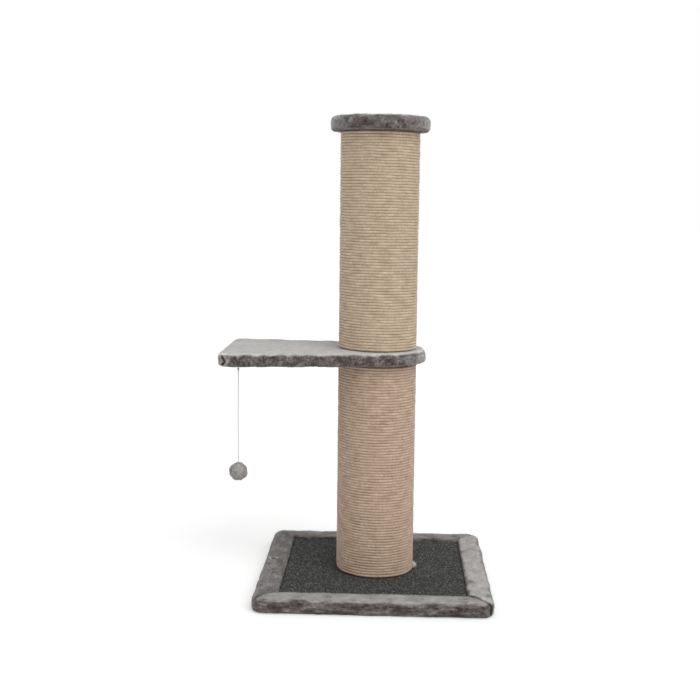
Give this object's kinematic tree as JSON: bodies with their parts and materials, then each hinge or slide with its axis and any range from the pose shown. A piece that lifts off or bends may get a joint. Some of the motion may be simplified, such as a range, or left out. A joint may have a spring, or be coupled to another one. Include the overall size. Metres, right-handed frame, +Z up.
{
  "type": "cat scratching post",
  "caption": "Free-standing round scratching post wound with sisal rope, on a padded plush-edged square base, with a clamped side shelf, a round cap and a hanging toy ball.",
  "frame": {"origin": "on the axis of the posts, in the plane of the floor under the base", "axes": "+Z up along the posts; -X towards the free end of the shelf; -Y towards the front, where the toy hangs"},
  "size_m": [0.5505, 0.47, 0.9635],
  "materials": {
    "grey_plush": "short-pile grey plush, brushed smooth",
    "needle_felt": "charcoal needle-felt carpet with pale flecks",
    "foam": "open-cell upholstery foam",
    "sisal": "twisted natural sisal rope",
    "particle_board": "raw particle board",
    "cardboard": "spiral-wound cardboard",
    "staple_wire": "galvanised staple wire",
    "zinc_steel": "zinc-plated steel",
    "string": "light grey braided string",
    "toy_plush": "clipped plush ball"
  },
  "bodies": {
    "post": {"base_board": "particle_board", "base_bolt": "zinc_steel", "base_carpet": "needle_felt", "base_plush_back": "grey_plush", "base_plush_front": "grey_plush", "base_plush_left": "grey_plush", "base_plush_right": "grey_plush", "base_staples": "staple_wire", "base_wadding_back": "foam", "base_wadding_front": "foam", "base_wadding_left": "foam", "base_wadding_right": "foam", "base_washer": "zinc_steel", "cap_board": "particle_board", "cap_plush": "grey_plush", "cap_staples": "staple_wire", "cap_stud": "zinc_steel", "cap_wadding": "foam", "lower_plug_staples": "staple_wire", "lower_rope_staples": "staple_wire", "lower_sisal": "sisal", "lower_tube": "cardboard", "shelf_board": "particle_board", "shelf_lining": "grey_plush", "shelf_plush": "grey_plush", "shelf_staples": "staple_wire", "shelf_stud": "zinc_steel", "shelf_wadding": "foam", "tee_nuts": "zinc_steel", "toy_staple": "staple_wire", "tube_plugs": "particle_board", "upper_plug_staples": "staple_wire", "upper_rope_staples": "staple_wire", "upper_sisal": "sisal", "upper_tube": "cardboard"},
    "loop": {"toy_loop": "string"},
    "string": {"toy_string": "string"},
    "ball": {"toy_ball": "toy_plush"}
  },
  "joints": [
    {"name": "loop_swing", "type": "hinge", "parent": "post", "child": "loop", "pos_m": [-0.278, -0.095, 0.46279], "axis": [1, 0, 0], "range_deg": [-60, 60]},
    {"name": "string_swing", "type": "hinge", "parent": "loop", "child": "string", "pos_m": [-0.278, -0.095, 0.45784], "axis": [0, 1, 0], "range_deg": [-45, 60]},
    {"name": "ball_twist", "type": "hinge", "parent": "string", "child": "ball", "pos_m": [-0.278, -0.095, 0.24754], "axis": [0, 0, 1], "range_deg": [-180, 180]}
  ]
}
